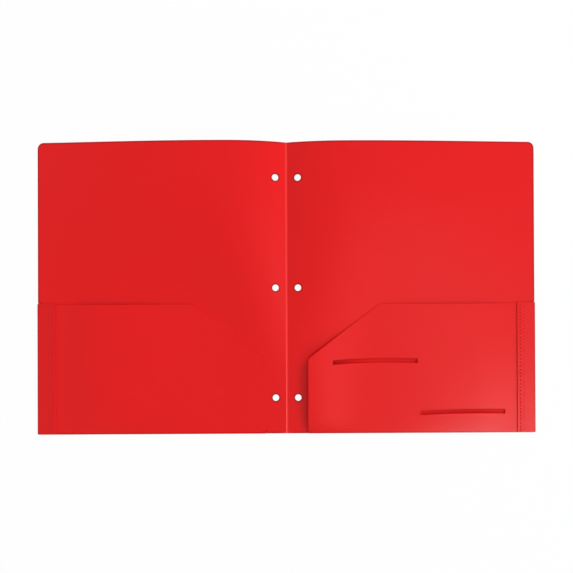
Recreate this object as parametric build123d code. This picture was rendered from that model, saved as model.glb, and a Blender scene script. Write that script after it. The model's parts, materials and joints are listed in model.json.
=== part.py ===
"""Two pocket folder: one scored, folded and welded polypropylene sheet, lying open with its inside up.

Millimetres. X runs across the open folder, Y towards its top edge, Z up. The origin is on the underside, in the
middle of the spine. The back cover is on the +X side and the front cover is its mirror image, without card slits.
"""

import math
import os

from build123d import *

# Sheet
SHEET = 0.5

# Covers
COVER_WIDTH = 243.0
COVER_HEIGHT = 286.0
COVER_CORNER_RADIUS = 6.0

# Scored spine
SPINE_WIDTH = 2.0
SPINE_WEB = 0.25

# Ring holes, on the three-hole standard of four and a quarter inches
HOLE_COUNT = 3
HOLE_DIAMETER = 6.35
HOLE_PITCH = 107.95
HOLE_INSET = 10.0

# Pocket flaps
POCKET_HEIGHT = 127.0
POCKET_INSET = 19.5
POCKET_GAP = 0.4
BEVEL_WIDTH = 71.0
BEVEL_HEIGHT = 53.0
BEVEL_RADIUS = 6.0
CREASE_RELIEF = 0.5

# Sprung inner corner of each flap, bent up along a diagonal
BEND_HEEL = 3.0
BEND_RUN = 12.0
SPRING_ANGLE = 10.0

# Side tabs, folded in over the flap and welded to it
TAB_WIDTH = 18.0
TAB_RISE = 1.0
WELD_HEIGHT = 0.2
WELD_DIAMETER = 1.6
WELD_SIDES = 8
WELD_PITCH = 3.5
WELD_INSET = 2.8
WELD_DIMPLE = 0.15

# Card slits, each an arc that drops a little towards its ends
SLIT_LENGTH = 83.5
SLIT_WIDTH = 4.4
SLIT_END_RADIUS = 1.0
SLIT_DROP_INNER = 1.7
SLIT_DROP_OUTER = 0.5
UPPER_SLIT_INSET = 24.0
UPPER_SLIT_DROP = 55.5
LOWER_SLIT_INSET = 12.0
LOWER_SLIT_LIFT = 21.5

# Levels of the stacked layers
FLAP_Z = SHEET + POCKET_GAP
FLAP_TOP_Z = FLAP_Z + SHEET
TAB_Z = FLAP_TOP_Z + WELD_HEIGHT

# Creases: the sheet turns round half the gap that it closes
POCKET_CREASE_INSIDE = POCKET_GAP / 2
POCKET_CREASE_OUTSIDE = POCKET_CREASE_INSIDE + SHEET
SIDE_CREASE_INSIDE = (TAB_Z - SHEET) / 2
SIDE_CREASE_OUTSIDE = SIDE_CREASE_INSIDE + SHEET

# Lines across the back cover, measured from the middle of the spine
SPINE_EDGE_X = SPINE_WIDTH / 2
OUTER_X = SPINE_EDGE_X + COVER_WIDTH
SIDE_CREASE_X = OUTER_X - SIDE_CREASE_OUTSIDE
TAB_X = OUTER_X - TAB_WIDTH
POCKET_X = SPINE_EDGE_X + POCKET_INSET
HOLE_X = SPINE_EDGE_X + HOLE_INSET

# Lines up the folder, measured from its middle
TOP_Y = COVER_HEIGHT / 2
BOTTOM_Y = -COVER_HEIGHT / 2
POCKET_CREASE_Y = BOTTOM_Y + POCKET_CREASE_OUTSIDE
POCKET_TOP_Y = BOTTOM_Y + POCKET_HEIGHT
TAB_TOP_Y = POCKET_TOP_Y + TAB_RISE

# Middles of the card slits: the upper one is placed from the flap's inner and top edges, the lower one from the
# side tab and the bottom edge
UPPER_SLIT = Vector(POCKET_X + UPPER_SLIT_INSET + SLIT_LENGTH / 2, POCKET_TOP_Y - UPPER_SLIT_DROP)
LOWER_SLIT = Vector(TAB_X - LOWER_SLIT_INSET - SLIT_LENGTH / 2, BOTTOM_Y + LOWER_SLIT_LIFT)

# Ends of the diagonal bend, at the foot of the inner edge and on the top edge past the bevel
BEND_LOW = Vector(POCKET_X, POCKET_CREASE_Y + BEND_HEEL, FLAP_TOP_Z)
BEND_HIGH = Vector(POCKET_X + BEVEL_WIDTH + BEND_RUN, POCKET_TOP_Y, FLAP_TOP_Z)


def sheet(outline, level):
    """Sheet of the standard thickness with this outline, lying at this level."""
    return extrude(Pos(0, 0, level) * outline, SHEET)


def outline_of(corners):
    """Face inside a closed outline, given as (x, y, corner radius)."""
    points = [(x, y) for x, y, _ in corners]
    radii = [radius for _, _, radius in corners]
    return make_face(FilletPolyline(*points, radius=radii, close=True))


def half_pipe(inside, outside, length):
    """Crease: half a pipe along Z that bulges towards -X, centred on the origin and starting at Z = 0."""
    ring = Circle(outside) - Circle(inside)
    keep = Pos(-outside, 0) * Rectangle(2 * outside, 2 * outside)
    return extrude(ring & keep, length)


def make_cover():
    """Cover panel, cut back along the two creases that the pocket is folded from, with its ring holes."""
    foot_x = POCKET_X - CREASE_RELIEF
    shoulder_y = TAB_TOP_Y + CREASE_RELIEF
    outline = outline_of([
        (SPINE_EDGE_X, BOTTOM_Y, 0),
        (foot_x, BOTTOM_Y, 0),
        (foot_x, POCKET_CREASE_Y, 0),
        (SIDE_CREASE_X, POCKET_CREASE_Y, 0),
        (SIDE_CREASE_X, shoulder_y, 0),
        (OUTER_X, shoulder_y, 0),
        (OUTER_X, TOP_Y, COVER_CORNER_RADIUS),
        (SPINE_EDGE_X, TOP_Y, 0),
    ])
    for index in range(HOLE_COUNT):
        hole_y = (index - (HOLE_COUNT - 1) / 2) * HOLE_PITCH
        outline -= Pos(HOLE_X, hole_y) * Circle(HOLE_DIAMETER / 2)
    return sheet(outline, 0)


def slit(middle):
    """Card slit about this middle point: an arched band with square ends and eased corners."""
    inner_end = Vector(-SLIT_LENGTH / 2, -SLIT_DROP_INNER)
    outer_end = Vector(SLIT_LENGTH / 2, -SLIT_DROP_OUTER)
    rise = Vector(0, SLIT_WIDTH / 2)
    upper = ThreePointArc(inner_end + rise, rise, outer_end + rise)
    lower = ThreePointArc(inner_end - rise, -rise, outer_end - rise)
    ends = [Line(upper @ 0, lower @ 0), Line(upper @ 1, lower @ 1)]
    band = make_face([upper, lower, *ends])
    return Pos(middle) * fillet(band.vertices(), SLIT_END_RADIUS)


def make_flap(with_slits):
    """Whole pocket flap, flat, from the bottom crease to its bevelled top."""
    outline = outline_of([
        (POCKET_X, POCKET_CREASE_Y, 0),
        (SIDE_CREASE_X, POCKET_CREASE_Y, 0),
        (SIDE_CREASE_X, POCKET_TOP_Y, 0),
        (POCKET_X + BEVEL_WIDTH, POCKET_TOP_Y, BEVEL_RADIUS),
        (POCKET_X, POCKET_TOP_Y - BEVEL_HEIGHT, BEVEL_RADIUS),
    ])
    if with_slits:
        outline -= slit(UPPER_SLIT)
        outline -= slit(LOWER_SLIT)
    return sheet(outline, FLAP_Z)


def split_flap(flap):
    """Flat part of the flap, and its inner corner turned up about the bend on the flap's upper face."""
    along = (BEND_HIGH - BEND_LOW).normalized()
    towards_corner = Vector(0, 0, 1).cross(along)
    bend = Plane(origin=BEND_LOW, x_dir=along, z_dir=towards_corner)
    flat = split(flap, bisect_by=bend, keep=Keep.BOTTOM)
    corner = split(flap, bisect_by=bend, keep=Keep.TOP)
    return flat, corner.rotate(Axis(BEND_LOW, along), SPRING_ANGLE)


def make_pocket_fold():
    """Bottom crease, from the cover's lower edge round to the flap."""
    pipe = half_pipe(POCKET_CREASE_INSIDE, POCKET_CREASE_OUTSIDE, SIDE_CREASE_X - POCKET_X)
    along_x = Plane(
        origin=(POCKET_X, POCKET_CREASE_Y, SHEET + POCKET_CREASE_INSIDE),
        x_dir=(0, 1, 0),
        z_dir=(1, 0, 0),
    )
    return along_x * pipe


def make_side_fold():
    """Outer crease, from the cover's side edge round to the tab."""
    pipe = half_pipe(SIDE_CREASE_INSIDE, SIDE_CREASE_OUTSIDE, TAB_TOP_Y - POCKET_CREASE_Y)
    along_y = Plane(
        origin=(SIDE_CREASE_X, POCKET_CREASE_Y, SHEET + SIDE_CREASE_INSIDE),
        x_dir=(-1, 0, 0),
        z_dir=(0, 1, 0),
    )
    return along_y * pipe


def weld_dots(level, height):
    """Row of weld dots along the tab, as short prisms that start at this level."""
    room = POCKET_TOP_Y - POCKET_CREASE_Y - WELD_DIAMETER
    count = math.floor(room / WELD_PITCH) + 1
    middle_y = (POCKET_TOP_Y + POCKET_CREASE_Y) / 2
    dots = []
    for index in range(count):
        dot_y = middle_y + (index - (count - 1) / 2) * WELD_PITCH
        dot = Pos(TAB_X + WELD_INSET, dot_y, level) * RegularPolygon(WELD_DIAMETER / 2, WELD_SIDES)
        dots.append(extrude(dot, height).solid())
    return dots


def make_side_tab():
    """Strip that lies over the flap's outer margin, dimpled where the welding tool pressed it."""
    outline = outline_of([
        (TAB_X, POCKET_CREASE_Y, 0),
        (SIDE_CREASE_X, POCKET_CREASE_Y, 0),
        (SIDE_CREASE_X, TAB_TOP_Y, 0),
        (TAB_X, TAB_TOP_Y, 0),
    ])
    return sheet(outline, TAB_Z) - weld_dots(TAB_Z + SHEET - WELD_DIMPLE, WELD_DIMPLE)


def make_welds():
    """Weld dots that join the tab to the flap under it."""
    return Compound(weld_dots(FLAP_TOP_Z, WELD_HEIGHT))


def make_spine():
    """Spine band, scored on the inside so that only a thin web is left on the outside."""
    return extrude(Rectangle(SPINE_WIDTH, COVER_HEIGHT), SPINE_WEB)


def make_side(with_slits):
    """Every piece of one cover, on the +X side, by the last part of its name."""
    pocket, corner = split_flap(make_flap(with_slits))
    return {
        "cover": make_cover(),
        "pocket": pocket,
        "pocket_corner": corner,
        "pocket_fold": make_pocket_fold(),
        "side_tab": make_side_tab(),
        "side_fold": make_side_fold(),
        "welds": make_welds(),
    }


def make_folder():
    """Every node of the folder by name."""
    nodes = {"spine": make_spine()}
    for name, piece in make_side(with_slits=True).items():
        nodes[f"back_{name}"] = piece
    for name, piece in make_side(with_slits=False).items():
        nodes[f"front_{name}"] = mirror(piece, about=Plane.YZ)
    return nodes


os.makedirs("parts", exist_ok=True)
for node_name, node in make_folder().items():
    export_step(node, f"parts/{node_name}.step")
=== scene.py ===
"""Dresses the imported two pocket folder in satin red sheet, under soft studio light.

Sprung covers, folded pocket flaps, welded side tabs and a scored spine.
Metres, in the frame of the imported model.
"""

import json
import math

import bpy
import numpy as np
from bpy.props import FloatProperty, FloatVectorProperty, IntProperty, PointerProperty
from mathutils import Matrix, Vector
from mathutils.geometry import delaunay_2d_cdt


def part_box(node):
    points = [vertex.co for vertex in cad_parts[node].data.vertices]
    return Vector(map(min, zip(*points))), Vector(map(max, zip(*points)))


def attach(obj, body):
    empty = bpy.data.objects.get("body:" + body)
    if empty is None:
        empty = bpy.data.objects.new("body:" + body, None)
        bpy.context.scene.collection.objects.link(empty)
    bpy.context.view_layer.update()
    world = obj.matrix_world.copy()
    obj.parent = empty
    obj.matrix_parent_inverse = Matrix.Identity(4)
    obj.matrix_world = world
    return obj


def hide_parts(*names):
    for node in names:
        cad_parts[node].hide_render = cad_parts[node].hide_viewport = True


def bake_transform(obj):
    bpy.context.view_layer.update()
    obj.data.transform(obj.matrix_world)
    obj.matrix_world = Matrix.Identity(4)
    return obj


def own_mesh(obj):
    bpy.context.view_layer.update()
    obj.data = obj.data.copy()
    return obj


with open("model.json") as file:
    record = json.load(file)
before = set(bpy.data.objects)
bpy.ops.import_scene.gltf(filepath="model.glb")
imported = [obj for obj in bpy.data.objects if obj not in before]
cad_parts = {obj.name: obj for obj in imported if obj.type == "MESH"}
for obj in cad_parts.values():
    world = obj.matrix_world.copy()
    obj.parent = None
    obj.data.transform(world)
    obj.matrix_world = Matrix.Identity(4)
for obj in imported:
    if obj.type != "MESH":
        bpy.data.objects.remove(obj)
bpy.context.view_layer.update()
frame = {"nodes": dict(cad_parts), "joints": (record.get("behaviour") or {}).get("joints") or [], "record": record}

bl_info = {
    "name": "Two pocket folder",
    "version": (1, 0, 0),
    "blender": (4, 5, 0),
    "location": "View3D > Sidebar > Folder",
    "description": "Builds the sheets, folds, welds and studio of a two pocket folder",
    "category": "Object",
}

MM = 0.001
WHITE = (1, 1, 1, 1)

# The back cover is on the +X side; front pieces are laid out there too and then mirrored
SIDES = ("back", "front")

# Lines of the folder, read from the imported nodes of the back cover
COVER_LOW, COVER_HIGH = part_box("back_cover")
FLAP_LOW, FLAP_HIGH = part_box("back_pocket")
FLAP_CREASE_LOW, FLAP_CREASE_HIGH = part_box("back_pocket_fold")
TAB_LOW, TAB_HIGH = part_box("back_side_tab")
TAB_CREASE_LOW, TAB_CREASE_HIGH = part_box("back_side_fold")
WEB_LOW, WEB_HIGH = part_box("spine")
WELDS_LOW, WELDS_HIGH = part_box("back_welds")
SHEET = COVER_HIGH.z - COVER_LOW.z
JOINTS = {joint["name"]: joint for joint in frame["joints"]}
RING_HOLES = [mount for mount in frame["record"]["mounts"] if mount["name"].startswith("back_ring_hole")]

# First row of weld dots on a side tab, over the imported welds
FIRST_ROW_X = (WELDS_LOW.x + WELDS_HIGH.x) / 2

# Radius of each crease in the middle of the sheet, and where its half turn ends in the flat pattern
FLAP_CREASE_RADIUS = FLAP_CREASE_HIGH.y - FLAP_CREASE_LOW.y - SHEET / 2
TAB_CREASE_RADIUS = TAB_CREASE_HIGH.x - TAB_CREASE_LOW.x - SHEET / 2
FLAP_END_Y = FLAP_CREASE_HIGH.y - math.pi * FLAP_CREASE_RADIUS
TAB_END_X = TAB_CREASE_LOW.x + math.pi * TAB_CREASE_RADIUS

# Parts that the half turn of a crease is divided into
FLAP_TURNS = 10
TAB_TURNS = 12

# Room between a sheet's edges and the points of its mesh, as a share of the mesh step, the rim or the ease
COVER_ROOM = 0.45
FLAP_ROOM = 0.4
RIM_ROOM = 0.8
CREASE_ROOM = 1.5

# Angle from which the edge between two faces is drawn sharp
SHARP_ANGLE = math.radians(38)

# Refractive index of the plastic
PLASTIC_IOR = 1.49


# Properties

def length(name, description, default):
    """A size in metres that a user may change."""
    return FloatProperty(name=name, description=description, default=default, unit="LENGTH", precision=5)


def share(name, description, default):
    """A number from nothing to all."""
    return FloatProperty(name=name, description=description, default=default, subtype="FACTOR", min=0, max=1)


def number(name, description, default):
    """A plain number, from nothing up."""
    return FloatProperty(name=name, description=description, default=default, min=0)


def angle(name, description, degrees):
    """An angle, given here in degrees."""
    return FloatProperty(name=name, description=description, default=math.radians(degrees), unit="ROTATION")


def colour(name, description, default):
    """A linear colour."""
    return FloatVectorProperty(
        name=name, description=description, default=default, subtype="COLOR", min=0, max=1
    )


class FolderSheetSettings(bpy.types.PropertyGroup):
    """Sheet and covers."""

    ease: length("Edge ease", "Width of the eased rim along every cut edge", 0.14 * MM)
    # The darker line along outer edges, creases and ring holes is painted shade; this is its width
    rim: length("Edge shade width", "How far the darker line along an outer edge reaches inwards", 2.2 * MM)
    mesh_step: length("Mesh step", "Spacing of the points inside a sheet", 5 * MM)
    corner_radius: length("Corner radius", "Radius of the covers' outer top corners", 6 * MM)
    relief: length("Crease relief", "Gap between a crease's end and the cover beside it", 0.2 * MM)
    back_bow: length("Back bow", "How high the back cover stands off the table beside the spine", 5.7 * MM)
    front_bow: length("Front bow", "How high the front cover stands off the table there", 7.6 * MM)
    bow_crest: share("Bow crest", "Place of the bow's crest, from the spine to the outer edge", 0.26)
    bow_rise: number("Bow rise", "How steeply the bow rises from the spine", 2.3)
    bow_fall: number("Bow fall", "How steeply the bow falls to the outer edge", 1.25)
    bow_start: number("Bow start", "How gently the bow starts above the pocket", 1.4)
    bow_margin: length("Bow margin", "How far above the flap's top edge the bow starts", 6 * MM)
    back_clear: length("Back clearance", "From the bend of the flap's corner up to the back bow", 15 * MM)
    front_clear: length("Front clearance", "From the bend of the flap's corner up to the front bow", 40 * MM)
    bow_turn: length("Bow turn", "Width over which the start of the bow turns along that bend", 15 * MM)
    bow_head: length("Bow head", "Height up the folder where the bow is full", 100 * MM)
    bow_keep: share("Bow kept shut", "Share of a sheet's spring that is left when the folder is shut", 0.3)


class FolderPocketSettings(bpy.types.PropertyGroup):
    """Pocket flaps and card slits."""

    bevel_width: length("Bevel width", "Width of the bevel at the flap's inner top corner", 71 * MM)
    bevel_height: length("Bevel height", "Height of the bevel at the flap's inner top corner", 53 * MM)
    bevel_radius: length("Bevel radius", "Radius at both ends of the bevel", 6 * MM)
    back_bulge: length("Back bulge", "How far the back flap's outer part stands off its cover", 1.2 * MM)
    front_bulge: length("Front bulge", "How far the front flap's outer part stands off its cover", 2.4 * MM)
    bulge_crest: share("Bulge crest", "Place of the bulge's crest, from the inner edge to the tab", 0.8)
    bulge_foot: length("Bulge foot", "Height over which the bulge rises from the bottom crease", 9 * MM)
    back_lift: length("Back lift", "How far the back flap's inner edge is sprung up", 4.8 * MM)
    front_settle: length("Front settle", "How far the front flap's inner part has settled", 0.3 * MM)
    lift_reach: length("Lift reach", "Distance from the inner edge over which the lift falls off", 34 * MM)
    lift_foot: length("Lift foot", "Height over which the lift rises from the bottom crease", 12 * MM)
    slit_length: length("Slit length", "Length of a card slit", 83.5 * MM)
    slit_width: length("Slit width", "Width of a card slit", 4.4 * MM)
    slit_end_radius: length("Slit end radius", "Radius at the corners of a card slit", 1 * MM)
    slit_drop_inner: length("Slit inner drop", "How far a slit's inner end lies below its middle", 1.7 * MM)
    slit_drop_outer: length("Slit outer drop", "How far a slit's outer end lies below its middle", 0.5 * MM)
    upper_slit_inset: length("Upper slit inset", "From the flap's inner edge to the upper slit", 24 * MM)
    upper_slit_drop: length("Upper slit drop", "From the flap's top edge down to the upper slit", 55.5 * MM)
    lower_slit_inset: length("Lower slit inset", "From the lower slit to the side tab", 12 * MM)
    lower_slit_lift: length("Lower slit lift", "From the bottom edge up to the lower slit", 21.5 * MM)


class FolderWeldSettings(bpy.types.PropertyGroup):
    """Dots that the welding tool pressed into the side tabs."""

    rows: IntProperty(name="Rows", description="Staggered rows of dots along a tab", default=3, min=1)
    pitch: length("Pitch", "Distance from one dot to the next along a row", 3.5 * MM)
    row_gap: length("Row gap", "Distance from one row to the next", 3.2 * MM)
    radius: length("Dot radius", "Radius of a dot at the tab's surface", 1 * MM)
    flat_share: share("Dot floor", "Share of a dot's radius over which its floor is flat", 0.5)
    depth: length("Dot depth", "Depth of a dot in the first row", 0.28 * MM)
    front_press: share("Front press", "Share of that depth in the front tab, which was pressed less", 0.45)
    fade: share("Row fade", "Share of the depth that is lost from one row to the next", 0.45)
    mesh_step: length("Mesh step", "Spacing of the points among the dots", 0.4 * MM)


class FolderFinishSettings(bpy.types.PropertyGroup):
    """Colours and finish of the sheet."""

    red: colour("Sheet", "Colour of the sheet", (0.785, 0.005, 0.006))
    # Painted light: the inside of a pocket is coloured redder, standing in for light through the flap
    inside: colour("Inside", "Colour inside a pocket, which is lit through the flap", (0.8, 0.002, 0.003))
    # Paler than the sheet: partly a real paling along the score and partly a painted highlight along the groove
    score: colour("Score", "Colour of the web along the spine, pale from scoring", (0.95, 0.018, 0.018))
    # Painted shade along outer edges, creases and ring holes
    edge_painted_shade: share("Edge shade", "How much darker an outer edge is", 0.5)
    # Painted shade all over the front tab, as if it were tilted away from the light
    front_tab_painted_shade: share("Front tab shade", "Share of that shade all over the front tab", 0.16)
    # Painted shade in the hollow of each weld dot
    dot_painted_shade: share("Dot shade", "How much darker a weld dot is", 0.3)
    mottle: share("Mottle", "Slight unevenness of the colour", 0.035)
    roughness: share("Roughness", "Roughness of the satin face", 0.32)
    dot_dullness: share("Dot dullness", "How much rougher a weld dot is", 0.65)
    inside_dullness: share("Inside dullness", "How much rougher the inside of a pocket is", 0.35)
    gloss: share("Gloss", "Strength of the satin reflection", 0.2)
    cloud_size: length("Cloud size", "Size of the broad clouds in the finish", 60 * MM)
    cloud_swing: share("Cloud swing", "How much the roughness varies with the clouds", 0.05)
    rub_size: length("Rub size", "Size of the rubbed patches in the finish", 9 * MM)
    rub_swing: share("Rub swing", "How much the roughness varies with the rubbed patches", 0.06)
    grain: length("Grain size", "Size of the fine grain of the face", 0.45 * MM)
    grain_depth: length("Grain depth", "Depth of the fine grain of the face", 0.006 * MM)
    grain_strength: share("Grain strength", "How much of that depth the light shows", 0.6)


class FolderStageSettings(bpy.types.PropertyGroup):
    """Floor, light and camera."""

    camera_height: length("Camera height", "Height of the camera over the folder", 400 * MM)
    view_width: length("View width", "Width of the table that the camera sees", 563.9 * MM)
    view_x: length("View middle across", "Place of the view's middle across the folder", -0.2 * MM)
    view_y: length("View middle up", "Place of the view's middle up the folder", 1.25 * MM)
    roll: angle("Roll", "Turn of the camera about its line of sight", -0.22)
    tilt: angle("Tilt", "Lean of the camera from straight down, up the folder", 0.13)
    lean: angle("Lean", "Lean of the camera from straight down, across the folder", -0.22)
    floor: colour("Floor", "Colour of the floor", (0.95, 0.95, 0.95))
    floor_white: share("Floor white", "How far the floor seen by the camera is lifted to plain white", 0.93)
    floor_reach: length("Floor reach", "From the middle of the folder to the floor's edges", 6.0)
    floor_drop: length("Floor drop", "How far the floor lies below the folder", 0.2 * MM)
    ambient: number("Ambient", "Even light from all round", 0.64)
    lamp_distance: length("Softbox distance", "From the middle of the folder to a softbox", 3.5)
    lamp_size: length("Softbox size", "Side of a softbox", 1.4)
    side_bearing: angle("Side bearing", "Direction of the side softbox, from the right", 40)
    side_height: angle("Side height", "Height of the side softbox over the table", 22)
    side_power: number("Side power", "Power of the side softbox in watts", 76)
    foot_bearing: angle("Foot bearing", "Direction of the softbox near the foot, from the right", -40)
    foot_height: angle("Foot height", "Height of that softbox over the table", 22)
    foot_power: number("Foot power", "Power of that softbox in watts", 28)
    card_bearing: angle("Card bearing", "Direction of the card that shows as sheen, from the right", -40)
    card_height: angle("Card height", "Height of that card over the table", 42)
    card_power: number("Card power", "Power of that card in watts", 44)
    overhead_bearing: angle("Overhead bearing", "Direction of the faint card overhead, from the right", -5)
    overhead_height: angle("Overhead height", "Height of that card over the table", 68)
    overhead_power: number("Overhead power", "Power of that card in watts", 6)


# Outlines, flat in the pattern that the sheet is cut from

def rounded(corners, steps=6):
    """Closed outline through (x, y, radius) corners, with an arc at each corner that has a radius."""
    points = []
    for index, (x, y, radius) in enumerate(corners):
        here = Vector((x, y))
        if radius == 0:
            points.append(here)
            continue
        to_last = (Vector(corners[index - 1][:2]) - here).normalized()
        to_next = (Vector(corners[(index + 1) % len(corners)][:2]) - here).normalized()
        half = to_last.angle(to_next) / 2
        centre = here + (to_last + to_next).normalized() * (radius / math.sin(half))
        start = here + to_last * (radius / math.tan(half)) - centre
        end = here + to_next * (radius / math.tan(half)) - centre
        first = math.atan2(start.y, start.x)
        sweep = (math.atan2(end.y, end.x) - first + math.pi) % (2 * math.pi) - math.pi
        for step in range(steps + 1):
            turn = first + sweep * step / steps
            points.append(centre + radius * Vector((math.cos(turn), math.sin(turn))))
    return points


def parts_of(run, longest):
    """Number of equal parts, none longer than this, that a run is divided into."""
    rounding = 1e-6
    return max(1, math.ceil(run / longest - rounding))


def divided(points, longest):
    """The same closed outline with its long runs divided evenly."""
    out = []
    for index, here in enumerate(points):
        after = points[(index + 1) % len(points)]
        parts = parts_of((after - here).length, longest)
        out += [here.lerp(after, part / parts) for part in range(parts)]
    return out


def round_hole(centre, radius, steps=40):
    """Circle, run clockwise as every cutout is."""
    turns = [-2 * math.pi * step / steps for step in range(steps)]
    return [centre + radius * Vector((math.cos(turn), math.sin(turn))) for turn in turns]


def offset(loop, distance):
    """The loop moved into the sheet, which lies on its left."""
    out = []
    for index, here in enumerate(loop):
        inward = []
        for run in (here - loop[index - 1], loop[(index + 1) % len(loop)] - here):
            inward.append(Vector((-run.y, run.x)).normalized())
        out.append(here + (inward[0] + inward[1]) * (distance / (1 + inward[0].dot(inward[1]))))
    return out


def grid(low, high, step_x, step_y):
    """Even grid of points in a rectangle."""
    columns = parts_of(high[0] - low[0], step_x)
    rows = parts_of(high[1] - low[1], step_y)
    xs = np.linspace(low[0], high[0], columns + 1)
    ys = np.linspace(low[1], high[1], rows + 1)
    return np.array([(x, y) for x in xs for y in ys])


def runs(loop):
    """Start and end points of a loop's runs."""
    start = np.array([tuple(point) for point in loop])
    return zip(start, np.roll(start, -1, axis=0))


def is_inside(points, loop):
    """Whether each point lies in the loop."""
    found = np.zeros(len(points), bool)
    x, y = points.T
    for (x0, y0), (x1, y1) in runs(loop):
        if y0 == y1:
            continue
        crosses = (y0 > y) != (y1 > y)
        found ^= crosses & (x < x0 + (y - y0) * (x1 - x0) / (y1 - y0))
    return found


def on_sheet(points, loops):
    """Whether each point lies in the outline, which is the first loop, and in none of the cutouts."""
    found = is_inside(points, loops[0])
    for cutout in loops[1:]:
        found &= ~is_inside(points, cutout)
    return found


def depth_in(points, loops):
    """How far each point lies inside the sheet, from its nearest edge; 0 off the sheet."""
    nearest = np.full(len(points), np.inf)
    for loop in loops:
        for start, end in runs(loop):
            run = end - start
            along = np.clip((points - start) @ run / (run @ run), 0, 1)
            nearest = np.minimum(nearest, np.linalg.norm(points - start - along[:, None] * run, axis=1))
    return np.where(on_sheet(points, loops), nearest, 0.0)


def clear_of_edges(points, loops, margin):
    """Those of the points that lie on the sheet, this far or more from every edge."""
    points = np.asarray(points, float).reshape(-1, 2)
    return points[depth_in(points, loops) >= margin]


def triangulate(points, loops):
    """Triangles over the sheet that the loops bound, between points that start with the loops' own."""
    all_triangles = 0
    same_point = 1e-9
    edges = []
    first = 0
    for loop in loops:
        count = len(loop)
        edges += [(first + index, first + (index + 1) % count) for index in range(count)]
        first += count
    solved = delaunay_2d_cdt([Vector(point) for point in points], edges, [], all_triangles, same_point)
    origin = [sources[0] for sources in solved[3]]
    faces = np.array([[origin[corner] for corner in face] for face in solved[2]])
    return faces[on_sheet(points[faces].mean(axis=1), loops)]


# Meshes

def new_object(name, mesh, material=None):
    """Object at the origin with a smooth mesh, sharp at its cut edges."""
    mesh.validate()
    mesh.shade_smooth()
    mesh.set_sharp_from_angle(angle=SHARP_ANGLE)
    if material:
        mesh.materials.append(material)
    thing = bpy.data.objects.new(name, mesh)
    bpy.context.scene.collection.objects.link(thing)
    return thing


def set_attribute(mesh, name, values):
    """One number for each point of the mesh, which its material can read."""
    mesh.attributes.new(name, "FLOAT", "POINT").data.foreach_set("value", np.asarray(values, np.float32))


def cut_sheet(name, loops, points, form, mirrored, shade):
    """Closed mesh of a sheet of the standard thickness, cut to the loops and laid on a form.

    form(point, lift) places a pattern point on the folded sheet, lifted from the middle of its thickness.
    shade(point, on_border) says how far a point is in the painted shade along the outer edges, from 0 to 1.
    """
    sheet = bpy.context.scene.folder_sheet
    half = SHEET / 2
    wall = half - sheet.ease
    borders = [offset(loop, sheet.ease) for loop in loops]
    border_points = np.array([tuple(point) for border in borders for point in border])
    flat = np.vstack([border_points, points])
    triangles = triangulate(flat, borders)
    cut_points = [point for loop in loops for point in loop]
    layers = ((flat, half), (flat, -half), (cut_points, wall), (cut_points, -wall))
    vertices = [form(Vector(point), lift) for layer, lift in layers for point in layer]
    under = len(flat)
    upper_wall = 2 * under
    lower_wall = upper_wall + len(cut_points)
    levels = (0, upper_wall, lower_wall, under)
    faces = triangles.tolist() + (triangles[:, ::-1] + under).tolist()
    first = 0
    for loop in loops:
        for index in range(len(loop)):
            here = first + index
            after = first + (index + 1) % len(loop)
            for above, below in zip(levels, levels[1:]):
                faces.append([above + here, below + here, below + after, above + after])
        first += len(loop)
    if mirrored:
        vertices = [Vector((-point.x, point.y, point.z)) for point in vertices]
        faces = [face[::-1] for face in faces]
    mesh = bpy.data.meshes.new(name)
    mesh.from_pydata(vertices, [], faces)
    border = [shade(point, True) for point in cut_points]
    inner = [shade(Vector(point), False) for point in flat[len(cut_points):]]
    # Painted shade along the outer edges, kept for each point as the edge attribute
    set_attribute(mesh, "edge", border + inner + border + inner + border + border)
    return mesh


def smooth(value, start, end):
    """Smooth step from 0 at start to 1 at end."""
    t = min(1.0, max(0.0, (value - start) / (end - start)))
    return t * t * (3 - 2 * t)


def rolled(past, radius, lift):
    """How far out and up a point lies that has gone this far past the start of a crease."""
    turn = max(0.0, past) / radius
    return math.sin(turn) * (radius + lift), math.cos(turn) * (radius + lift)


def crease_shade(past, radius, rim):
    """Painted shade along the outside of a crease, for a point this far past the crease's start."""
    turn = min(math.pi, max(0.0, past) / radius)
    inward = (radius + SHEET / 2) * (1 - math.sin(turn)) + max(0.0, -past)
    return max(0.0, 1 - inward / rim)


# Node graphs

class Wire:
    """An output of a node, for use in sums: each operator adds a Math node to the graph."""

    def __init__(self, graph, node, output):
        self.graph = graph
        self.node = node
        self.socket = node.outputs[output]

    def output(self, name):
        """Another output of the same node."""
        return Wire(self.graph, self.node, name)

    def math(self, operation, *values):
        """This wire through a Math node, with the node's other values."""
        return self.graph.math(operation, self, *values)

    def nearest(self, last):
        """The nearest whole number from 0 to the last one."""
        return self.math("ROUND").math("MAXIMUM", 0).math("MINIMUM", last)

    def __add__(self, other):
        return self.math("ADD", other)

    def __radd__(self, other):
        return self.math("ADD", other)

    def __sub__(self, other):
        return self.math("SUBTRACT", other)

    def __rsub__(self, other):
        return self.graph.math("SUBTRACT", other, self)

    def __mul__(self, other):
        return self.math("MULTIPLY", other)

    def __rmul__(self, other):
        return self.math("MULTIPLY", other)

    def __truediv__(self, other):
        return self.math("DIVIDE", other)

    def __rtruediv__(self, other):
        return self.graph.math("DIVIDE", other, self)


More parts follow.
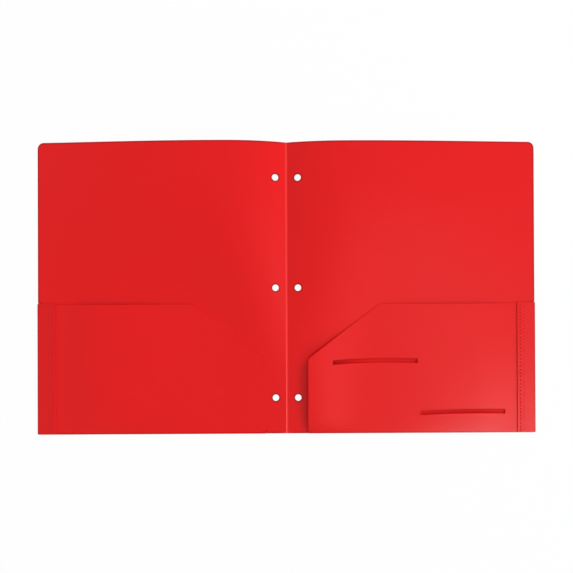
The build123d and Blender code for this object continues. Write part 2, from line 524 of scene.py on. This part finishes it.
class Graph:
    """A node tree that is written as expressions."""

    def __init__(self, tree):
        self.tree = tree
        tree.nodes.clear()

    def add(self, kind, settings=None, inputs=None, output=0):
        """New node of this kind: settings come first, then values or wires for inputs by name or number."""
        node = self.tree.nodes.new(kind)
        for key, value in (settings or {}).items():
            setattr(node, key, value)
        for key, value in (inputs or {}).items():
            if isinstance(value, Wire):
                self.tree.links.new(value.socket, node.inputs[key])
            else:
                node.inputs[key].default_value = value
        return Wire(self, node, output) if node.outputs else node

    def math(self, operation, *values):
        """Math node on values and wires."""
        return self.add("ShaderNodeMath", {"operation": operation}, dict(enumerate(values)))

    def mix(self, factor, first, second, blend="MIX"):
        """Mix of two colours, which are the node's inputs 6 and 7, and the mixed colour its output 2."""
        settings = {"data_type": "RGBA", "blend_type": blend}
        return self.add("ShaderNodeMix", settings, {0: factor, 6: first, 7: second}, output=2)

    def noise(self, place, size, detail=3.0):
        """Noise from 0 to 1 with features of this size."""
        return self.add("ShaderNodeTexNoise", inputs={"Vector": place, "Scale": 1 / size, "Detail": detail})

    def attribute(self, name):
        """One number for each point, from the mesh."""
        return self.add("ShaderNodeAttribute", {"attribute_name": name}, output="Fac")


def opaque(value):
    """Colour with full alpha."""
    return (*value, 1.0)


def new_material(name):
    """Material with an empty node graph."""
    material = bpy.data.materials.new(name)
    material.use_nodes = True
    return material, Graph(material.node_tree)


def end_in_plastic(graph, red, roughness, relief, depth, strength, gloss=0.5):
    """Ends a material's graph in red plastic with a fine relief of this depth."""
    bump = graph.add("ShaderNodeBump", inputs={"Strength": strength, "Distance": depth, "Height": relief})
    inputs = {"Base Color": red, "Roughness": roughness, "Normal": bump}
    inputs |= {"IOR": PLASTIC_IOR, "Specular IOR Level": gloss}
    shader = graph.add("ShaderNodeBsdfPrincipled", inputs=inputs)
    graph.add("ShaderNodeOutputMaterial", inputs={"Surface": shader})


def sheet_material():
    """Satin red sheet with fine grain: painted shade at outer edges, over the front tab and in the dots, redder
    painted light in a pocket, and dull dots.
    """
    found = bpy.data.materials.get("satin_red_sheet")
    if found:
        return found
    finish = bpy.context.scene.folder_finish
    material, graph = new_material("satin_red_sheet")
    place = graph.add("ShaderNodeTexCoord", output="Object")
    cloud = graph.noise(place, finish.cloud_size) - 0.5
    rub = graph.noise(place, finish.rub_size, detail=4.0) - 0.5
    grain = graph.noise(place, finish.grain)
    edge = graph.attribute("edge")
    dot = graph.attribute("pressed")
    inside = graph.attribute("inside")
    # Painted shade along edges and creases, over the front tab and in the weld dots, with random mottle on top
    shade = (1 - edge * finish.edge_painted_shade) * (1 - dot * finish.dot_painted_shade)
    shade = shade * (1 + cloud * finish.mottle + rub * (finish.mottle / 2))
    tint = graph.add("ShaderNodeCombineColor", inputs={0: shade, 1: shade, 2: shade})
    # Painted light through the flap inside a pocket
    red = graph.mix(inside, opaque(finish.red), opaque(finish.inside))
    red = graph.mix(1.0, red, tint, "MULTIPLY")
    roughness = finish.roughness + rub * finish.rub_swing + cloud * finish.cloud_swing
    roughness = roughness + dot * finish.dot_dullness + inside * finish.inside_dullness
    end_in_plastic(graph, red, roughness, grain, finish.grain_depth, finish.grain_strength, finish.gloss)
    return material


def score_material():
    """Thin web along the spine: paler than the sheet, partly a real paling along the score and partly a painted
    highlight, glossier, with fine marks of the scoring rule.
    """
    finish = bpy.context.scene.folder_finish
    mark_width = 0.3 * MM
    mark_depth = 0.02 * MM
    mark_strength = 0.4
    spine_stretch = (1.0, 0.04, 1.0)
    worn_size = 14 * MM
    worn_share = 0.4
    roughness = 0.36
    roughness_swing = 0.12
    material, graph = new_material("scored_web")
    place = graph.add("ShaderNodeTexCoord", output="Object")
    stretched = graph.add("ShaderNodeMapping", inputs={"Vector": place, "Scale": spine_stretch})
    marks = graph.noise(stretched, mark_width)
    worn = graph.noise(place, worn_size)
    red = graph.mix(worn * worn_share, opaque(finish.score), opaque(finish.red))
    end_in_plastic(graph, red, roughness + (marks - 0.5) * roughness_swing, marks, mark_depth, mark_strength)
    return material


def weld_material():
    """Fused plastic of the weld dots: glossier and deeper in colour than the sheet."""
    finish = bpy.context.scene.folder_finish
    flow_size = 0.6 * MM
    flow_depth = 0.03 * MM
    flow_strength = 0.5
    deepness = 0.7
    roughness = 0.22
    roughness_swing = 0.1
    material, graph = new_material("fused_weld")
    place = graph.add("ShaderNodeTexCoord", output="Object")
    flow = graph.noise(place, flow_size)
    deep_red = [channel * deepness for channel in finish.red]
    red = graph.mix(flow, opaque(finish.red), opaque(deep_red))
    end_in_plastic(graph, red, roughness + flow * roughness_swing, flow, flow_depth, flow_strength)
    return material


# Covers

def cover_loops(sheet):
    """Outline of the back cover, cut back along the creases of its pocket, and its ring holes."""
    foot_x = FLAP_LOW.x - sheet.relief
    shoulder_y = TAB_HIGH.y + sheet.relief
    outline = rounded([
        (COVER_LOW.x, COVER_LOW.y, 0),
        (foot_x, COVER_LOW.y, 0),
        (foot_x, FLAP_CREASE_HIGH.y, 0),
        (TAB_CREASE_LOW.x, FLAP_CREASE_HIGH.y, 0),
        (TAB_CREASE_LOW.x, shoulder_y, 0),
        (COVER_HIGH.x, shoulder_y, 0),
        (COVER_HIGH.x, COVER_HIGH.y, sheet.corner_radius),
        (COVER_LOW.x, COVER_HIGH.y, 0),
    ])
    holes = []
    for mount in RING_HOLES:
        holes.append(round_hole(Vector(mount["pos_m"][:2]), mount["dims"]["r_mm"] * MM))
    return [divided(outline, sheet.mesh_step), *holes]


def bow_foot(x, side, sheet):
    """Height up the folder where the bow starts: above the flap, and lower beside its bevelled corner."""
    level = FLAP_HIGH.y + sheet.bow_margin
    pivot = Vector(JOINTS["back_corner_bend"]["pos_m"])
    along = Vector(JOINTS["back_corner_bend"]["axis"])
    on_bend = pivot.y + getattr(sheet, f"{side}_clear") + (x - pivot.x) * along.y / along.x
    return level - sheet.bow_turn * math.log(1 + math.exp((level - on_bend) / sheet.bow_turn))


def bow_height(x, y, side, sheet):
    """How high a sprung cover stands off the table: steep beside the spine, then falling outwards."""
    across = (x - COVER_LOW.x) / (COVER_HIGH.x - COVER_LOW.x)
    if across < sheet.bow_crest:
        rise = 1 - (1 - across / sheet.bow_crest) ** sheet.bow_rise
    else:
        fall = min(1.0, (across - sheet.bow_crest) / (1 - sheet.bow_crest))
        rise = math.cos(math.pi / 2 * fall) ** sheet.bow_fall
    foot = max(COVER_LOW.y, bow_foot(x, side, sheet))
    up = min(1.0, max(0.0, (y - foot) / (sheet.bow_head - foot)))
    return getattr(sheet, f"{side}_bow") * rise * math.sin(math.pi / 2 * up) ** sheet.bow_start


def cover_form(side, sheet):
    """Places points of the flat cover on its bowed form."""
    reach = 0.02 * MM

    def form(point, lift):
        x, y = point
        level = bow_height(x, y, side, sheet)
        slope_x = (bow_height(x + reach, y, side, sheet) - level) / reach
        slope_y = (bow_height(x, y + reach, side, sheet) - level) / reach
        normal = Vector((-slope_x, -slope_y, 1)).normalized()
        return Vector((x, y, level + SHEET / 2)) + normal * lift

    return form


def cover_shade(sheet):
    """Paints shade on the border of a cover, but not along the spine or the pocket's creases."""
    def shade(point, on_border):
        on_spine = point.x < COVER_LOW.x + sheet.ease
        in_crease = point.y < FLAP_CREASE_HIGH.y + sheet.ease and point.x > FLAP_LOW.x
        beside_tab = point.x > TAB_CREASE_LOW.x - sheet.ease and point.y < TAB_HIGH.y
        return float(on_border and not (on_spine or in_crease or beside_tab))

    return shade


def cover_points(loops, shade, sheet):
    """Points of the flat cover: a row where the painted shade along the edges ends, and an even grid."""
    step = sheet.mesh_step
    row = []
    for loop in loops:
        inner = zip(loop, offset(loop, sheet.rim))
        row += [tuple(inside) for point, inside in inner if shade(point, True) > 0]
    face = grid(COVER_LOW.xy, COVER_HIGH.xy, step, step)
    return np.vstack([
        clear_of_edges(row, loops, sheet.rim * RIM_ROOM),
        clear_of_edges(face, loops, step * COVER_ROOM),
    ])


def pocket_share(mesh, flap, width):
    """How deep in its pocket each point of a cover's inner face lies, from 0 to 1 over this width."""
    places = np.array([(abs(vertex.co.x), vertex.co.y) for vertex in mesh.vertices])
    faces_in = np.array([vertex.normal.z > 0 for vertex in mesh.vertices])
    return faces_in * np.clip(depth_in(places, flap) / width, 0, 1)


class FOLDER_OT_make_covers(bpy.types.Operator):
    """Make the two covers as bowed sheets with their ring holes"""

    bl_idname = "folder.make_covers"
    bl_label = "Covers"

    def execute(self, context):
        sheet = context.scene.folder_sheet
        loops = cover_loops(sheet)
        shade = cover_shade(sheet)
        points = cover_points(loops, shade, sheet)
        flap = flap_loops(context.scene.folder_pocket, sheet, 1, with_slits=False)
        for side in SIDES:
            form = cover_form(side, sheet)
            mesh = cut_sheet(f"{side}_cover_sheet", loops, points, form, side == "front", shade)
            # Marks where the painted light through the flap goes on a cover's inner face
            set_attribute(mesh, "inside", pocket_share(mesh, flap, 2 * sheet.mesh_step))
            cover = new_object(mesh.name, mesh, sheet_material())
            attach(cover, side)
            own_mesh(cover)
            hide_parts(f"{side}_cover")
        return {"FINISHED"}


# Pockets

def slit_loop(middle, pocket):
    """Card slit about this middle, run clockwise: an arched band with eased corners."""
    half = pocket.slit_length / 2
    bend = (pocket.slit_drop_inner + pocket.slit_drop_outer) / 2 / half ** 2
    slope = (pocket.slit_drop_inner - pocket.slit_drop_outer) / 2 / half
    count = 16
    corners = []
    for sign in (1, -1):
        for index in range(count + 1):
            x = sign * half * (2 * index / count - 1)
            y = slope * x - bend * x * x + sign * pocket.slit_width / 2
            radius = pocket.slit_end_radius if index in (0, count) else 0
            corners.append((middle[0] + x, middle[1] + y, radius))
    return rounded(corners, steps=4)


def flap_loops(pocket, sheet, turns, with_slits):
    """Outline of the flat flap, which runs on round its bottom crease, and its card slits."""
    crease_y = FLAP_CREASE_HIGH.y
    side_ys = [FLAP_END_Y + (crease_y - FLAP_END_Y) * turn / turns for turn in range(turns + 1)]
    outline = rounded([
        *[(FLAP_LOW.x, y, 0) for y in reversed(side_ys)],
        *[(FLAP_HIGH.x, y, 0) for y in side_ys],
        (FLAP_HIGH.x, FLAP_HIGH.y, 0),
        (FLAP_LOW.x + pocket.bevel_width, FLAP_HIGH.y, pocket.bevel_radius),
        (FLAP_LOW.x, FLAP_HIGH.y - pocket.bevel_height, pocket.bevel_radius),
    ])
    loops = [divided(outline, sheet.mesh_step)]
    if with_slits:
        half = pocket.slit_length / 2
        upper = (FLAP_LOW.x + pocket.upper_slit_inset + half, FLAP_HIGH.y - pocket.upper_slit_drop)
        lower = (TAB_LOW.x - pocket.lower_slit_inset - half, COVER_LOW.y + pocket.lower_slit_lift)
        loops += [slit_loop(upper, pocket), slit_loop(lower, pocket)]
    return loops


def flap_points(loops, sheet):
    """Points of the flat flap: an even grid, two rows by the painted shade of the crease, and rows along the
    crease.
    """
    low_x, high_x = FLAP_LOW.x, FLAP_HIGH.x
    crease_y = FLAP_CREASE_HIGH.y
    step = sheet.mesh_step
    near = sheet.ease * CREASE_ROOM
    depth = sheet.rim - (FLAP_CREASE_HIGH.y - FLAP_CREASE_LOW.y)
    face = grid((low_x, crease_y), (high_x, FLAP_HIGH.y), step, step)
    face = face[face[:, 1] > crease_y + step * FLAP_ROOM]
    rows = grid((low_x, crease_y + depth), (high_x, crease_y + 2 * depth), step, depth)
    crease = grid((low_x, FLAP_END_Y), (high_x, crease_y), step, (crease_y - FLAP_END_Y) / FLAP_TURNS)
    return np.vstack([
        clear_of_edges(face, loops, step * FLAP_ROOM),
        clear_of_edges(rows, loops, near),
        clear_of_edges(crease, loops, near),
    ])


def rise_from_crease(point, foot):
    """How fully the flap has risen from its bottom crease, from 0 to 1."""
    return 1 - math.exp(-max(0.0, point.y - FLAP_CREASE_HIGH.y) / foot)


def bulge_share(point, pocket):
    """How fully the flap bulges off its cover: most in its outer part, where the pocket gapes."""
    crest = FLAP_LOW.x + (TAB_LOW.x - FLAP_LOW.x) * pocket.bulge_crest
    across = smooth(point.x, FLAP_LOW.x + pocket.bevel_width / 2, crest) * smooth(point.x, TAB_LOW.x, crest)
    return across * rise_from_crease(point, pocket.bulge_foot)


def edge_lift(point, pocket):
    """How far the back flap is sprung up: all along its inner edge, and less with distance from it."""
    fall = math.exp(-((point.x - FLAP_LOW.x) / pocket.lift_reach) ** 2)
    return pocket.back_lift * fall * rise_from_crease(point, pocket.lift_foot)


def settled(point, pocket, sheet):
    """How far the front flap lies off its flat place: its inner part has settled on the bowed cover."""
    inner_part = smooth(point.x, TAB_LOW.x, FLAP_LOW.x + pocket.bevel_width)
    bow = bow_height(point.x, point.y, "front", sheet)
    return bow - pocket.front_settle * inner_part * rise_from_crease(point, pocket.lift_foot)


def flap_form(side, pocket, sheet):
    """Places points of the flat flap round the bottom crease and on its sprung or settled form."""
    crease_y = FLAP_CREASE_HIGH.y
    crease_z = (FLAP_CREASE_LOW.z + FLAP_CREASE_HIGH.z) / 2

    def form(point, lift):
        out, up = rolled(crease_y - point.y, FLAP_CREASE_RADIUS, lift)
        if side == "back":
            sprung = pocket.back_bulge * bulge_share(point, pocket) + edge_lift(point, pocket)
        else:
            sprung = pocket.front_bulge * bulge_share(point, pocket) + settled(point, pocket, sheet)
        return Vector((point.x, max(point.y, crease_y) - out, crease_z + up + sprung))

    return form


def flap_shade(sheet):
    """Paints shade along a flap's bottom crease."""
    def shade(point, on_border):
        return crease_shade(FLAP_CREASE_HIGH.y - point.y, FLAP_CREASE_RADIUS, sheet.rim)

    return shade


class FOLDER_OT_make_pockets(bpy.types.Operator):
    """Make the two pocket flaps, folded up from the bottom edge, the back one sprung and with card slits"""

    bl_idname = "folder.make_pockets"
    bl_label = "Pocket flaps"

    def execute(self, context):
        sheet = context.scene.folder_sheet
        pocket = context.scene.folder_pocket
        shade = flap_shade(sheet)
        for side in SIDES:
            loops = flap_loops(pocket, sheet, FLAP_TURNS, with_slits=side == "back")
            points = flap_points(loops, sheet)
            form = flap_form(side, pocket, sheet)
            mesh = cut_sheet(f"{side}_pocket_flap", loops, points, form, side == "front", shade)
            flap = new_object(mesh.name, mesh, sheet_material())
            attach(flap, side)
            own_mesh(flap)
            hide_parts(f"{side}_pocket", f"{side}_pocket_corner", f"{side}_pocket_fold")
        return {"FINISHED"}


# Side tabs and their weld dots

def weld_dot_tree():
    """Geometry nodes that press staggered rows of round dots into the upper face of a tab."""
    lengths = ("First row", "Row gap", "Lowest dot", "Pitch", "Dot radius", "Depth")
    shares = ("Flat share", "Fade", "Press")
    sockets = {"Geometry": "NodeSocketGeometry"}
    sockets |= {name: "NodeSocketFloat" for name in (*lengths, *shares)}
    sockets |= {"Rows": "NodeSocketInt", "Dots": "NodeSocketInt", "Material": "NodeSocketMaterial"}
    tree = bpy.data.node_groups.new("press_weld_dots", "GeometryNodeTree")
    for name, kind in sockets.items():
        tree.interface.new_socket(name, in_out="INPUT", socket_type=kind)
    tree.interface.new_socket("Geometry", in_out="OUTPUT", socket_type="NodeSocketGeometry")
    graph = Graph(tree)
    given = graph.add("NodeGroupInput")

    place = graph.add("ShaderNodeSeparateXYZ", inputs={0: graph.add("GeometryNodeInputPosition")})
    rows_out = (place.math("ABSOLUTE") - given.output("First row")) / given.output("Row gap")
    row = rows_out.nearest(given.output("Rows") - 1)
    across = (rows_out - row) * given.output("Row gap")
    stagger = row.math("MODULO", 2)
    dots_up = (place.output("Y") - given.output("Lowest dot")) / given.output("Pitch") - stagger / 2
    dot = dots_up.nearest(given.output("Dots") - 1 - stagger)
    up = (dots_up - dot) * given.output("Pitch")
    reach = (across * across + up * up).math("SQRT") / given.output("Dot radius")

    fall = graph.add(
        "ShaderNodeMapRange",
        {"interpolation_type": "SMOOTHSTEP"},
        {"Value": reach, "From Min": 1.0, "From Max": given.output("Flat share")},
    )
    upper = graph.add("GeometryNodeInputNamedAttribute", {"data_type": "FLOAT"}, {"Name": "upper"})
    press = fall * upper * (1 - row * given.output("Fade")) * given.output("Press")
    shift = graph.add("ShaderNodeCombineXYZ", inputs={"Z": press * given.output("Depth") * -1})

    moved = graph.add(
        "GeometryNodeSetPosition",
        inputs={"Geometry": given.output("Geometry"), "Offset": shift},
    )
    marked = graph.add(
        "GeometryNodeStoreNamedAttribute",
        {"data_type": "FLOAT", "domain": "POINT"},
        {"Geometry": moved, "Name": "pressed", "Value": press},
    )
    whole = graph.add("GeometryNodeRealizeInstances", inputs={"Geometry": marked})
    finished = graph.add(
        "GeometryNodeSetMaterial",
        inputs={"Geometry": whole, "Material": given.output("Material")},
    )
    graph.add("NodeGroupOutput", inputs={0: finished})
    return tree


def apply_tree(thing, tree, values):
    """Runs a node tree on an object with these named inputs, and keeps the result as its plain mesh."""
    modifier = thing.modifiers.new(tree.name, "NODES")
    modifier.node_group = tree
    for item in tree.interface.items_tree:
        if item.in_out == "INPUT" and item.name in values:
            modifier[item.identifier] = values[item.name]
    depsgraph = bpy.context.evaluated_depsgraph_get()
    result = thing.evaluated_get(depsgraph)
    mesh = bpy.data.meshes.new_from_object(result, preserve_all_data_layers=True, depsgraph=depsgraph)
    thing.modifiers.clear()
    thing.data = mesh


def weld_values(weld):
    """Values for the tree that presses the dots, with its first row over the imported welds."""
    return {
        "First row": FIRST_ROW_X,
        "Row gap": weld.row_gap,
        "Lowest dot": WELDS_LOW.y + (WELDS_HIGH.x - WELDS_LOW.x) / 2,
        "Pitch": weld.pitch,
        "Dot radius": weld.radius,
        "Depth": weld.depth,
        "Flat share": weld.flat_share,
        "Fade": weld.fade,
        "Rows": weld.rows,
        "Dots": round((WELDS_HIGH.y - WELDS_LOW.y) / weld.pitch) + 1,
        "Material": sheet_material(),
    }


def tab_loops(sheet):
    """Outline of the flat side tab, which runs on round its outer crease."""
    crease_x = TAB_CREASE_LOW.x
    edge_xs = [crease_x + (TAB_END_X - crease_x) * turn / TAB_TURNS for turn in range(TAB_TURNS + 1)]
    corners = [(TAB_LOW.x, TAB_LOW.y)]
    corners += [(x, TAB_LOW.y) for x in edge_xs]
    corners += [(x, TAB_HIGH.y) for x in reversed(edge_xs)]
    corners.append((TAB_LOW.x, TAB_HIGH.y))
    return [divided([Vector(corner) for corner in corners], sheet.mesh_step)]


def tab_points(loops, sheet, weld):
    """Points of the flat side tab: close together among the dots, and wider apart beside them."""
    low_y, high_y = TAB_LOW.y, TAB_HIGH.y
    crease_x = TAB_CREASE_LOW.x
    step = sheet.mesh_step
    near = sheet.ease * CREASE_ROOM
    first_x = FIRST_ROW_X - 2 * weld.radius
    last_x = FIRST_ROW_X + (weld.rows - 1) * weld.row_gap + 2 * weld.radius
    line_x = crease_x - (sheet.rim - (TAB_CREASE_HIGH.x - crease_x))
    dotted = grid((first_x, low_y), (last_x, high_y), weld.mesh_step, weld.mesh_step)
    plain = grid((last_x, low_y), (line_x, high_y), step, step)
    plain = plain[plain[:, 0] > last_x + near]
    crease = grid((crease_x, low_y), (TAB_END_X, high_y), (TAB_END_X - crease_x) / TAB_TURNS, step)
    return np.vstack([
        clear_of_edges(dotted, loops, weld.mesh_step),
        clear_of_edges(plain, loops, sheet.rim),
        clear_of_edges(crease, loops, near),
    ])


def tab_form(point, lift):
    """Places a point of the flat side tab on the folder, round its outer crease."""
    crease_x = TAB_CREASE_LOW.x
    crease_z = (TAB_CREASE_LOW.z + TAB_CREASE_HIGH.z) / 2
    out, up = rolled(point.x - crease_x, TAB_CREASE_RADIUS, lift)
    return Vector((min(point.x, crease_x) + out, point.y, crease_z + up))


def tab_shade(least, sheet):
    """Paints shade along a tab's crease, and over all of the tab by this least share."""
    def shade(point, on_border):
        return max(least, crease_shade(point.x - TAB_CREASE_LOW.x, TAB_CREASE_RADIUS, sheet.rim))

    return shade


class FOLDER_OT_make_side_tabs(bpy.types.Operator):
    """Make the two side tabs, folded in over the flaps and pressed with rows of weld dots"""

    bl_idname = "folder.make_side_tabs"
    bl_label = "Side tabs"

    def execute(self, context):
        sheet = context.scene.folder_sheet
        weld = context.scene.folder_weld
        loops = tab_loops(sheet)
        points = tab_points(loops, sheet, weld)
        tree = weld_dot_tree()
        values = weld_values(weld)
        press = {"back": 1.0, "front": weld.front_press}
        # The front tab gets painted shade all over
        least_painted_shade = {"back": 0.0, "front": context.scene.folder_finish.front_tab_painted_shade}
        top = TAB_HIGH.z - sheet.ease / 2
        for side in SIDES:
            shade = tab_shade(least_painted_shade[side], sheet)
            mesh = cut_sheet(f"{side}_side_tab_sheet", loops, points, tab_form, side == "front", shade)
            on_top = [abs(vertex.co.x) < TAB_CREASE_LOW.x and vertex.co.z > top for vertex in mesh.vertices]
            set_attribute(mesh, "upper", on_top)
            tab = new_object(mesh.name, mesh)
            apply_tree(tab, tree, values | {"Press": press[side]})
            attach(tab, side)
            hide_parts(f"{side}_side_tab", f"{side}_side_fold")
        return {"FINISHED"}


class FOLDER_OT_finish_welds(bpy.types.Operator):
    """Give the weld dots between tab and flap their fused finish"""

    bl_idname = "folder.finish_welds"
    bl_label = "Welds"

    def execute(self, context):
        material = weld_material()
        for side in SIDES:
            mesh = frame["nodes"][f"{side}_welds"].data
            mesh.materials.clear()
            mesh.materials.append(material)
        return {"FINISHED"}


# Spine

class FOLDER_OT_make_spine(bpy.types.Operator):
    """Make the thin web of the scored spine"""

    bl_idname = "folder.make_spine"
    bl_label = "Spine"

    def execute(self, context):
        columns = 20
        rows = 60
        half = WEB_HIGH.x
        shoulder = SHEET * 0.92
        groove_power = 4
        section = []
        for index in range(columns + 1):
            x = half * (1 - 2 * index / columns)
            section.append((x, WEB_HIGH.z + (shoulder - WEB_HIGH.z) * (x / half) ** groove_power))
        section += [(half * (2 * index / columns - 1), WEB_LOW.z) for index in range(columns + 1)]
        count = len(section)
        vertices = []
        for row in range(rows + 1):
            y = WEB_LOW.y + (WEB_HIGH.y - WEB_LOW.y) * row / rows
            vertices += [(x, y, z) for x, z in section]
        faces = [list(range(count)), list(range(rows * count, (rows + 1) * count))[::-1]]
        for row in range(rows):
            low, high = row * count, (row + 1) * count
            for index in range(count):
                after = (index + 1) % count
                faces.append([low + after, low + index, high + index, high + after])
        mesh = bpy.data.meshes.new("scored_spine_web")
        mesh.from_pydata(vertices, [], faces)
        web = new_object(mesh.name, mesh, score_material())
        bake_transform(web)
        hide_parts("spine")
        return {"FINISHED"}


# Stage

def seen_directly(graph):
    """1 for rays from the camera and for those that it sees in gloss or through glass, else 0."""
    path = graph.add("ShaderNodeLightPath", output="Is Camera Ray")
    seen = path
    for kind in ("Is Glossy Ray", "Is Transmission Ray"):
        seen = seen.math("MAXIMUM", path.output(kind))
    return seen


def floor_material(stage):
    """Pale floor that the camera sees lifted towards white, with the folder's soft shadow kept."""
    material, graph = new_material("pale_floor")
    seen = seen_directly(graph)
    matt = graph.add("ShaderNodeBsdfDiffuse", inputs={"Color": opaque(stage.floor)})
    white = graph.add("ShaderNodeEmission", inputs={"Color": WHITE, "Strength": 1.0})
    shader = graph.add("ShaderNodeMixShader", inputs={0: seen * stage.floor_white, 1: matt, 2: white})
    graph.add("ShaderNodeOutputMaterial", inputs={"Surface": shader})
    return material


def make_floor(stage):
    """Wide flat floor just below the folder."""
    reach = stage.floor_reach
    level = COVER_LOW.z - stage.floor_drop
    corners = [(-reach, -reach, level), (reach, -reach, level), (reach, reach, level), (-reach, reach, level)]
    mesh = bpy.data.meshes.new("floor")
    mesh.from_pydata(corners, [], [(0, 1, 2, 3)])
    return new_object("floor", mesh, floor_material(stage))


def studio_world(stage):
    """Even light from all round, with white behind the floor."""
    world = bpy.data.worlds.new("studio")
    world.use_nodes = True
    graph = Graph(world.node_tree)
    seen = seen_directly(graph)
    light = graph.add("ShaderNodeBackground", inputs={"Color": WHITE, "Strength": stage.ambient})
    white = graph.add("ShaderNodeBackground", inputs={"Color": WHITE, "Strength": 1.0})
    shader = graph.add("ShaderNodeMixShader", inputs={0: seen, 1: light, 2: white})
    graph.add("ShaderNodeOutputWorld", inputs={"Surface": shader})
    return world


def softbox(place, stage):
    """Square soft light that faces the folder, with the bearing, height and power of its place."""
    bearing = getattr(stage, f"{place}_bearing")
    height = getattr(stage, f"{place}_height")
    lamp = bpy.data.lights.new(f"{place}_softbox", "AREA")
    lamp.size = stage.lamp_size
    lamp.energy = getattr(stage, f"{place}_power")
    thing = bpy.data.objects.new(lamp.name, lamp)
    level = math.cos(height)
    towards = Vector((level * math.cos(bearing), level * math.sin(bearing), math.sin(height)))
    thing.location = towards * stage.lamp_distance
    thing.rotation_euler = towards.to_track_quat("Z", "Y").to_euler()
    bpy.context.scene.collection.objects.link(thing)
    return thing


def camera_over(stage):
    """Camera over the folder, framed as in the photograph."""
    lens = bpy.data.cameras.new("view_from_above")
    lens.sensor_width = 36
    lens.lens = lens.sensor_width * stage.camera_height / stage.view_width
    camera = bpy.data.objects.new(lens.name, lens)
    sight_x = stage.view_x + stage.camera_height * math.tan(stage.lean)
    sight_y = stage.view_y - stage.camera_height * math.tan(stage.tilt)
    camera.location = (sight_x, sight_y, stage.camera_height)
    camera.rotation_euler = (stage.tilt, stage.lean, stage.roll)
    bpy.context.scene.collection.objects.link(camera)
    return camera


class FOLDER_OT_set_stage(bpy.types.Operator):
    """Set the pale floor, the soft studio light and the camera over the folder"""

    bl_idname = "folder.set_stage"
    bl_label = "Stage"

    def execute(self, context):
        scene = context.scene
        stage = scene.folder_stage
        make_floor(stage)
        scene.world = studio_world(stage)
        for place in ("side", "foot"):
            softbox(place, stage).visible_glossy = False
        for place in ("card", "overhead"):
            softbox(place, stage).visible_diffuse = False
        scene.camera = camera_over(stage)
        scene.view_settings.view_transform = "Standard"
        return {"FINISHED"}


class FOLDER_PT_sidebar(bpy.types.Panel):
    """The steps that build the folder, in order."""

    bl_idname = "FOLDER_PT_sidebar"
    bl_label = "Two pocket folder"
    bl_space_type = "VIEW_3D"
    bl_region_type = "UI"
    bl_category = "Folder"

    def draw(self, context):
        for step in STEPS:
            self.layout.operator(step.bl_idname)


SETTINGS = {
    "folder_sheet": FolderSheetSettings,
    "folder_pocket": FolderPocketSettings,
    "folder_weld": FolderWeldSettings,
    "folder_finish": FolderFinishSettings,
    "folder_stage": FolderStageSettings,
}
STEPS = (
    FOLDER_OT_make_covers,
    FOLDER_OT_make_pockets,
    FOLDER_OT_make_side_tabs,
    FOLDER_OT_finish_welds,
    FOLDER_OT_make_spine,
    FOLDER_OT_set_stage,
)


def register():
    """Adds the settings, steps and panel to Blender."""
    for name, group in SETTINGS.items():
        bpy.utils.register_class(group)
        setattr(bpy.types.Scene, name, PointerProperty(type=group))
    for kind in (*STEPS, FOLDER_PT_sidebar):
        bpy.utils.register_class(kind)


def unregister():
    """Takes the settings, steps and panel out of Blender again."""
    for kind in (FOLDER_PT_sidebar, *reversed(STEPS)):
        bpy.utils.unregister_class(kind)
    for name, group in SETTINGS.items():
        delattr(bpy.types.Scene, name)
        bpy.utils.unregister_class(group)


def main():
    """Builds the folder and its stage."""
    register()
    bpy.ops.folder.make_covers()
    bpy.ops.folder.make_pockets()
    bpy.ops.folder.make_side_tabs()
    bpy.ops.folder.finish_welds()
    bpy.ops.folder.make_spine()
    bpy.ops.folder.set_stage()


if __name__ == "__main__":
    main()
